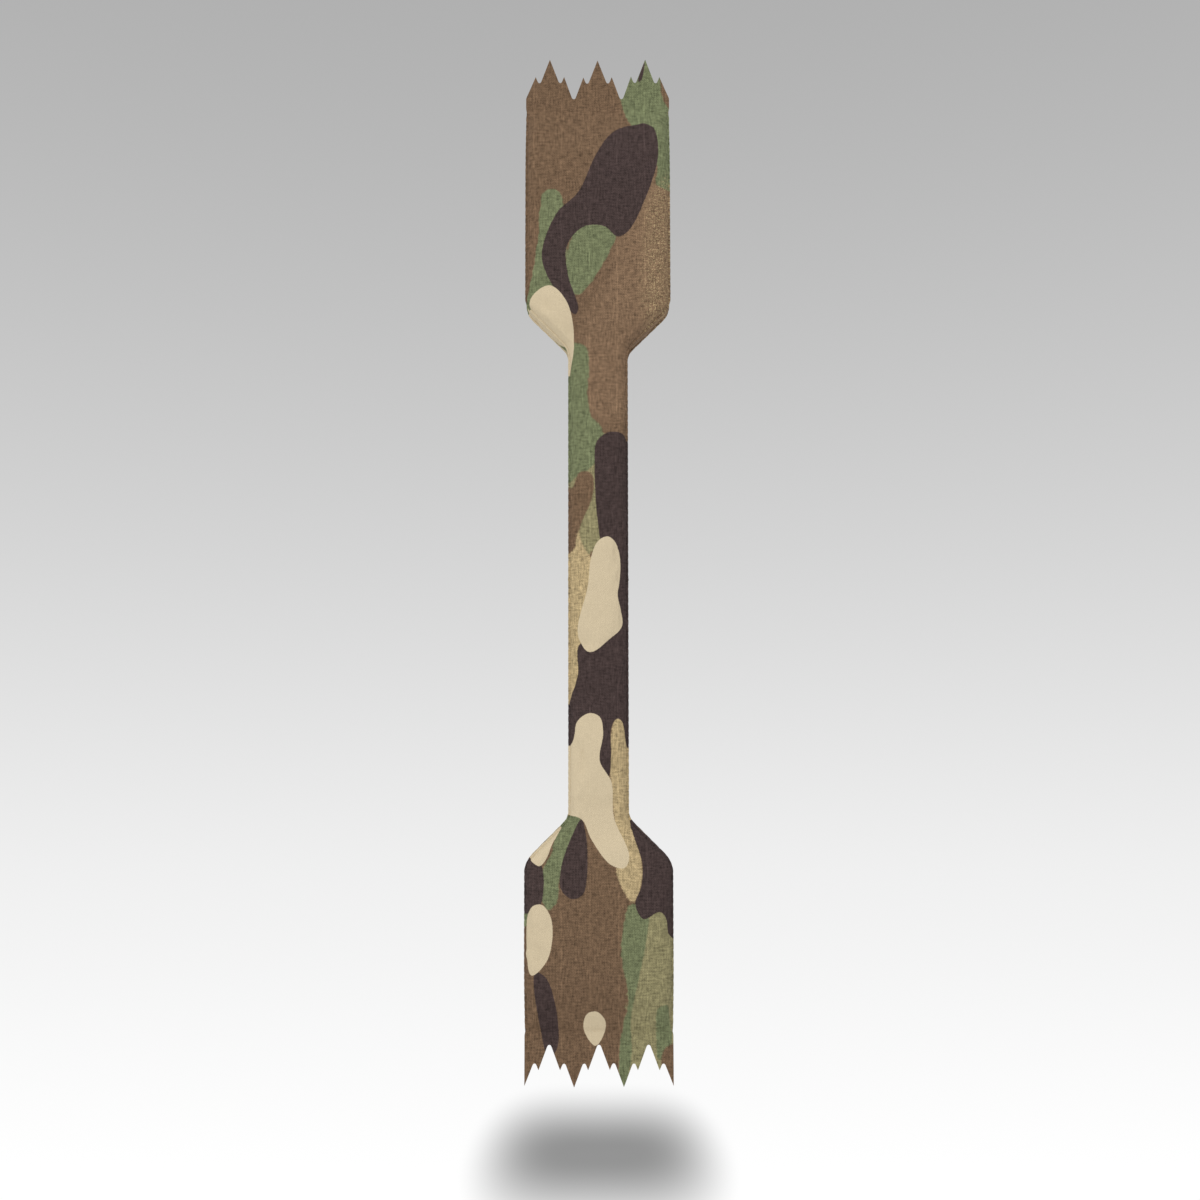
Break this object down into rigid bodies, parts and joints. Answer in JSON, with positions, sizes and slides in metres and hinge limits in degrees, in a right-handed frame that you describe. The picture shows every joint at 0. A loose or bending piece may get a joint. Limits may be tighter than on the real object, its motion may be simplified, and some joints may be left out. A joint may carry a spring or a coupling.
{
  "type": "training bumper",
  "caption": "Soft dumbbell-shaped dog training bumper: two padded paddles on a narrow grip, camouflage canvas cover, zigzag-cut cloth fringes at both ends.",
  "frame": {"origin": "middle of the grip, halfway between the two shoulders, at mid width and mid thickness", "axes": "+Z along the bumper towards the longer paddle, -Y out of the front face, X across the width"},
  "size_m": [0.0634, 0.024, 0.4479],
  "materials": {
    "camo_canvas": "matte",
    "seam_binding": "matte",
    "sewing_thread": "matte",
    "closed_cell_foam": "matte",
    "wadding": "matte",
    "spine_rope": "matte",
    "anchor_plastic": "satin",
    "weight_steel": "satin"
  },
  "bodies": {
    "grip": {"front_cover_panel": "camo_canvas", "back_cover_panel": "camo_canvas", "left_gusset": "camo_canvas", "right_gusset": "camo_canvas", "front_seam_welt": "seam_binding", "back_seam_welt": "seam_binding", "spine_cord": "spine_rope", "grip_foam_sleeve": "closed_cell_foam"},
    "upper_paddle": {"upper_front_float": "closed_cell_foam", "upper_back_float": "closed_cell_foam", "upper_anchor_disc": "anchor_plastic", "upper_throw_weight": "weight_steel", "upper_end_wadding": "wadding", "upper_end_stitching": "sewing_thread"},
    "lower_paddle": {"lower_front_float": "closed_cell_foam", "lower_back_float": "closed_cell_foam", "lower_anchor_disc": "anchor_plastic", "lower_throw_weight": "weight_steel", "lower_end_wadding": "wadding", "lower_end_stitching": "sewing_thread"},
    "upper_fringe": {"upper_fringe_front_ply": "camo_canvas", "upper_fringe_back_ply": "camo_canvas"},
    "lower_fringe": {"lower_fringe_front_ply": "camo_canvas", "lower_fringe_back_ply": "camo_canvas"}
  },
  "joints": [
    {"name": "upper_neck_bend", "type": "hinge", "parent": "grip", "child": "upper_paddle", "pos_m": [0, 0, 0.094], "axis": [1, 0, 0], "range_deg": [-25, 25], "stiffness_Nm_per_rad": 1.5, "deforming": ["front_cover_panel", "back_cover_panel", "left_gusset", "right_gusset", "front_seam_welt", "back_seam_welt", "spine_cord"]},
    {"name": "lower_neck_bend", "type": "hinge", "parent": "grip", "child": "lower_paddle", "pos_m": [0, 0, -0.094], "axis": [1, 0, 0], "range_deg": [-25, 25], "stiffness_Nm_per_rad": 1.5, "deforming": ["front_cover_panel", "back_cover_panel", "left_gusset", "right_gusset", "front_seam_welt", "back_seam_welt", "spine_cord"]},
    {"name": "upper_fringe_flap", "type": "hinge", "parent": "upper_paddle", "child": "upper_fringe", "pos_m": [0, 0, 0.21], "axis": [1, 0, 0], "range_deg": [-60, 60], "stiffness_Nm_per_rad": 0.002},
    {"name": "lower_fringe_flap", "type": "hinge", "parent": "lower_paddle", "child": "lower_fringe", "pos_m": [0, 0, -0.1921], "axis": [1, 0, 0], "range_deg": [-60, 60], "stiffness_Nm_per_rad": 0.002}
  ]
}
